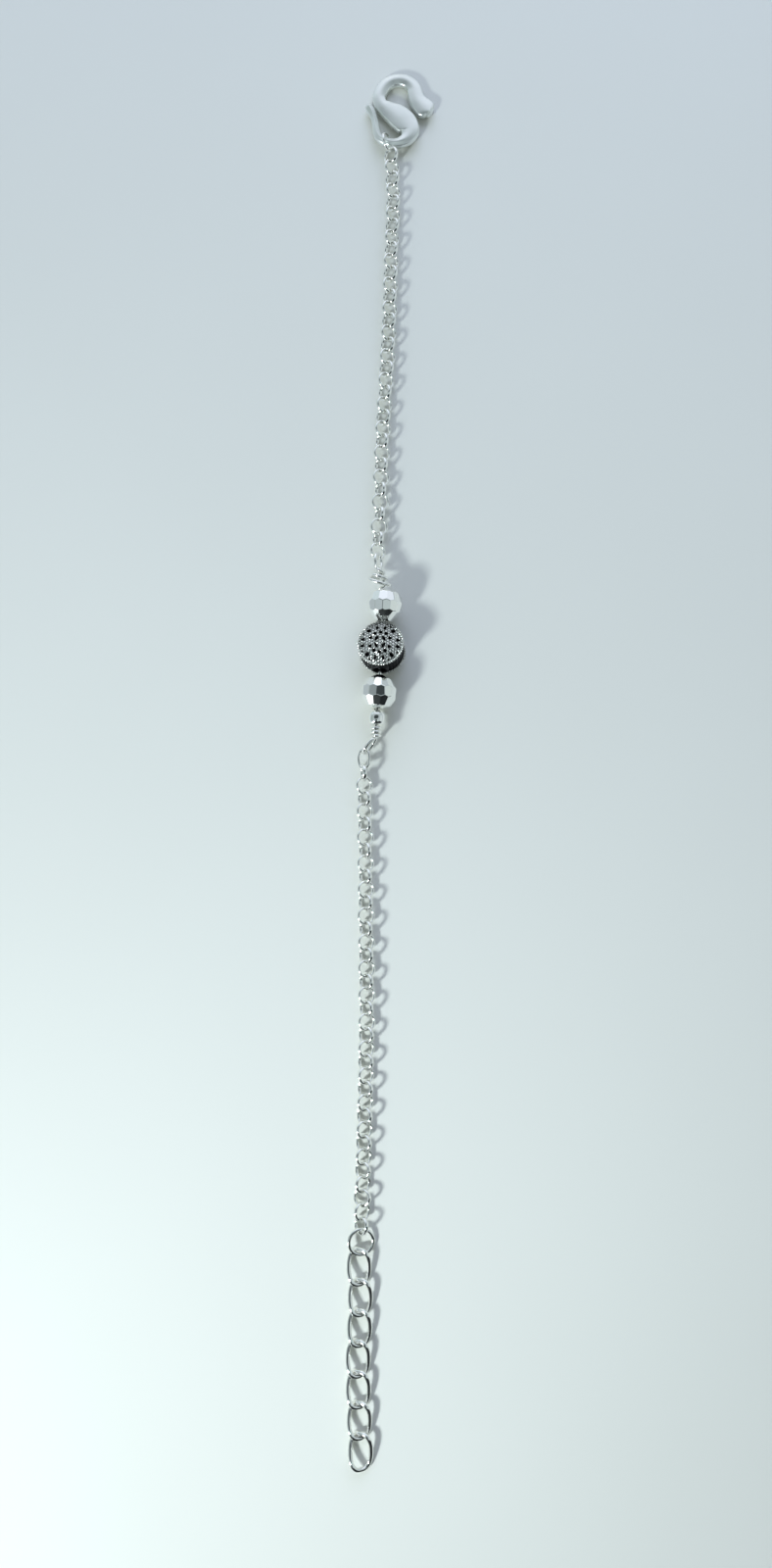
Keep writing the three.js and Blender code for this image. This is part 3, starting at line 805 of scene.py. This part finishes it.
def wire_route():
    """The wire's points from its lower end to its upper end: turns, loop, stem through the beads,
    a bend to the left, loop and turns."""
    lower_turns = wrap_points(start=(0, -13.45, 0.63, 0.63), end=(0, -12.1, 0.63, 0.63), turns=2.3)
    lower_loop = loop_points(start=(0, -13.5, 0), towards=(-1.76, -2.64, -0.87), slope=-76, size=1.05)
    stem = [(0, y, 0) for y in (-12.9, -11.0, -6.0, 0.0, 6.0, 8.7, 9.3)]
    bend = [(-0.35, 10.2, 0), (-0.9, 11.2, -0.05)]
    upper_loop = loop_points(start=(-1.2, 12.0, -0.1), towards=(-0.1, 2.4, -0.5), slope=60, size=0.85)
    upper_turns = wrap_points(start=(-1.2, 11.85, 0.55, 0.55), end=(-1.1, 10.03, 1.75, 0.95), turns=2.25,
                              lean_across=0.15, lean_up=0.45)
    return np.concatenate([lower_turns[::-1], lower_loop[::-1], stem, bend, upper_loop, upper_turns])


wire_path = smooth_curve(on_run(wire_route()), WIRE_STEPS)
bead_wire = add_mesh("bead_wire_turns", [tube(wire_path, WIRE / 2, WIRE_SIDES)], polished_silver)
seat(bead_wire, "polished_silver", "bead_wire")


# ---- table, light and camera ----

TABLE_HALF = 1500
CAMERA_PLACE = np.array([-0.888, -24.02, 178])
CAMERA_TIP = 5.3                # degrees towards the hook


def add_floor():
    """A plain pale table with a faint mottle."""
    material = bpy.data.materials.new("Pale table")
    material.use_nodes = True
    n = Nodes(material.node_tree)
    shader = material.node_tree.nodes["Principled BSDF"]
    place = n.add("ShaderNodeTexCoord").outputs["Object"]
    mottle = n.add("ShaderNodeTexNoise", {"Vector": place, "Scale": 9.0, "Detail": 3.0}).outputs["Fac"]
    tone = n.mix(n.ramp(mottle, 0.3, 0.7), (0.655, 0.65, 0.59, 1.0), (0.673, 0.668, 0.608, 1.0))
    material.node_tree.links.new(tone, shader.inputs["Base Color"])
    shader.inputs["Roughness"].default_value = 0.6
    shader.inputs["Specular IOR Level"].default_value = 0.2
    square = TABLE_HALF * np.array([(-1, -1, 0), (1, -1, 0), (1, 1, 0), (-1, 1, 0)], float)
    floor = add_mesh("table", [(square, [[0, 1, 2, 3]])], material)


def add_soft_light(name, place, aim, size, power, colour, spread=180, shines=True):
    """A square soft box at a place in millimetres, facing the aim point, with the angle in degrees
    that its light spreads over. The silver mirrors it only if it shines."""
    data = bpy.data.lights.new(name, "AREA")
    data.size = size * MM
    data.energy = power
    data.color = colour
    data.spread = np.radians(spread)
    light = bpy.data.objects.new(name, data)
    z = unit(np.array(place, float) - np.array(aim, float))
    x = unit(np.cross([0, 0, 1.0], z))
    matrix = np.eye(4)
    matrix[:3, :3] = np.stack([x, np.cross(z, x), z], axis=1)
    matrix[:3, 3] = np.array(place, float) * MM
    light.matrix_world = matrix.T.tolist()
    light.visible_glossy = shines
    bpy.context.scene.collection.objects.link(light)


def add_black_card(name, outline, shades=False):
    """A black card from its four corners, unseen by the camera. The silver mirrors it, and it keeps
    the light of the room off the table only if it shades."""
    material = bpy.data.materials.new(name)
    material.use_nodes = True
    shader = material.node_tree.nodes["Principled BSDF"]
    shader.inputs["Base Color"].default_value = (0.003, 0.004, 0.004, 1.0)
    shader.inputs["Roughness"].default_value = 0.8
    card = add_mesh(name, [(np.array(outline, float), [[0, 1, 2, 3]])], material)
    card.visible_camera = False
    card.visible_diffuse = shades
    card.visible_shadow = False


def add_surroundings():
    """The room round the table, worked out from the direction looked in: a pale dome with a bright
    window beyond the hook, pale and shaded walls, a lamp shade low on the left, a lit ceiling and
    dark hands overhead. Each is an egg-shaped, soft-edged patch of the dome."""
    world = bpy.data.worlds.new("Room")
    bpy.context.scene.world = world
    world.use_nodes = True
    n = Nodes(world.node_tree)
    way = n.add("ShaderNodeTexCoord").outputs["Generated"]
    height = n.add("ShaderNodeSeparateXYZ", {0: way}).outputs[2]

    def patch(heart, reach, core):
        """Goes from 1 in the patch's core, a share of its reach each way, to 0 at its rim."""
        offset = n.add("ShaderNodeVectorMath", {0: way, 1: heart}, operation="SUBTRACT").outputs[0]
        scaled = n.add("ShaderNodeVectorMath", {0: offset, 1: reach}, operation="DIVIDE").outputs[0]
        length = n.add("ShaderNodeVectorMath", {0: scaled}, operation="LENGTH").outputs["Value"]
        return n.ramp(length, 1.0, core)

    colour = n.mix(n.ramp(height, 0.0, 0.8), (0.425, 0.49, 0.53, 1.0), (0.425, 0.495, 0.53, 1.0))
    for heart, reach, core, tone in (
            ((0.95, -0.05, 0.40), (0.50, 0.55, 0.45), 0.4, (0.58, 0.66, 0.67)),    # pale wall on the right
            ((-0.88, 0.10, 0.46), (0.30, 0.45, 0.36), 0.4, (0.32, 0.39, 0.38)),    # shade on the left
            ((-0.60, 0.65, 0.30), (0.50, 0.45, 0.35), 0.4, (0.63, 0.75, 0.81)),    # bay on the left
            ((0.05, 0.85, 0.50), (0.75, 0.45, 0.50), 0.6, (0.84, 0.92, 1.05)),     # sky in the window
            ((-0.10, 0.97, 0.24), (0.34, 0.25, 0.18), 0.5, (1.26, 1.34, 1.46)),    # its brightest part
            ((-0.69, -0.69, 0.20), (0.24, 0.24, 0.20), 0.6, (1.90, 1.96, 2.00)),   # lamp shade
            ((0.22, -0.42, 0.88), (0.45, 0.22, 0.30), 0.5, (0.56, 0.67, 0.66)),    # lit ceiling
            ((-0.08, 0.18, 0.96), (0.72, 0.24, 0.32), 0.6, (0.045, 0.055, 0.060))):  # hands overhead
        colour = n.mix(patch(heart, reach, core), colour, (*tone, 1.0))
    background = world.node_tree.nodes["Background"]
    world.node_tree.links.new(colour, background.inputs["Color"])
    background.inputs["Strength"].default_value = 1.0


def add_camera():
    """A camera over the bracelet, tipped a little towards the hook."""
    data = bpy.data.cameras.new("camera")
    data.sensor_fit = "VERTICAL"
    data.sensor_height = 36
    data.sensor_width = 36
    data.lens = 27
    data.clip_start = 0.01
    camera = bpy.data.objects.new("camera", data)
    camera.location = CAMERA_PLACE * MM
    camera.rotation_euler = (np.radians(CAMERA_TIP), 0, 0)
    bpy.context.scene.collection.objects.link(camera)
    bpy.context.scene.camera = camera


add_floor()
add_soft_light("key", place=(-221, -215, 215), aim=(0, -80, 0), size=50, power=0.452,
               colour=(0.84, 0.95, 0.99), spread=106)
add_soft_light("window", place=(40, 440, 200), aim=(0, 60, 0), size=480, power=1.9,
               colour=(0.57, 0.67, 1.0), shines=False)
add_black_card("card_overhead",
               outline=[(-45, -185, 190), (-45, -14, 190), (22, -14, 190), (22, -185, 190)])
add_black_card("card_near_side",
               outline=[(-160, -230, 20), (380, -230, 20), (380, -230, 400), (-160, -230, 400)],
               shades=True)
add_black_card("card_near_right",
               outline=[(-60, -210, 0), (240, -115, 0), (240, -115, 240), (-60, -210, 240)],
               shades=True)
add_surroundings()
add_camera()
bpy.context.scene.view_settings.view_transform = "Standard"
